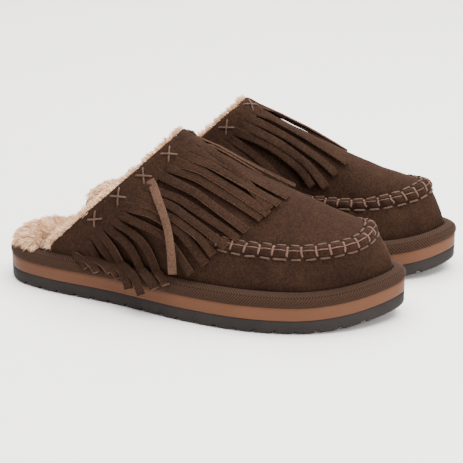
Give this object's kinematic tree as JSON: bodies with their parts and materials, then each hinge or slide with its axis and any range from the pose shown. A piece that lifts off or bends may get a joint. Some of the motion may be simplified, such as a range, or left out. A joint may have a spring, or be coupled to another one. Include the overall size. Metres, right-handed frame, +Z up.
{
  "type": "moccasin slippers",
  "caption": "Matching left and right backless moccasin slippers with fleece lining, fringed collar, laced toe seam and layered sole.",
  "frame": {"origin": "on the floor, in the middle of the box around both slippers", "axes": "+X to the toes, +Y to the wearer's left, +Z up; the slippers stand side by side, the left one a little ahead"},
  "size_m": [0.2839, 0.2024, 0.1096],
  "materials": {
    "suede": "dark brown suede with a short nap",
    "shearling": "cream fleece pile",
    "braid": "woven herringbone tape",
    "eva_foam": "matt tan foam",
    "rubber": "matt charcoal rubber",
    "platform": "moulded foam, hidden",
    "leatherboard": "pressed board, hidden",
    "cushion_foam": "open-cell foam, hidden",
    "thread": "waxed taupe thread"
  },
  "bodies": {
    "right_slipper": {"right_outsole": "rubber", "right_midsole": "eva_foam", "right_platform_core": "platform", "right_braid_rand": "braid", "right_insole_board": "leatherboard", "right_footbed_foam": "cushion_foam", "right_footbed_fleece": "shearling", "right_vamp": "suede", "right_apron": "suede", "right_upper_lining": "shearling", "right_seam_welt": "suede", "right_seam_lacing": "thread", "right_apron_stitching": "thread", "right_vamp_stitching": "thread", "right_fringed_collar": "suede", "right_cross_stitch_1": "thread", "right_cross_stitch_2": "thread", "right_cross_stitch_3": "thread", "right_cross_stitch_4": "thread", "right_cross_stitch_5": "thread", "right_cross_stitch_6": "thread", "right_cross_stitch_7": "thread", "right_cross_stitch_8": "thread", "right_cross_stitch_9": "thread"},
    "left_slipper": {"left_outsole": "rubber", "left_midsole": "eva_foam", "left_platform_core": "platform", "left_braid_rand": "braid", "left_insole_board": "leatherboard", "left_footbed_foam": "cushion_foam", "left_footbed_fleece": "shearling", "left_vamp": "suede", "left_apron": "suede", "left_upper_lining": "shearling", "left_seam_welt": "suede", "left_seam_lacing": "thread", "left_apron_stitching": "thread", "left_vamp_stitching": "thread", "left_fringed_collar": "suede", "left_cross_stitch_1": "thread", "left_cross_stitch_2": "thread", "left_cross_stitch_3": "thread", "left_cross_stitch_4": "thread", "left_cross_stitch_5": "thread", "left_cross_stitch_6": "thread", "left_cross_stitch_7": "thread", "left_cross_stitch_8": "thread", "left_cross_stitch_9": "thread"}
  },
  "joints": [
    {"name": "left_step", "type": "slide", "parent": "right_slipper", "child": "left_slipper", "axis": [1, 0, 0], "range_m": [-0.15, 0.15]}
  ]
}
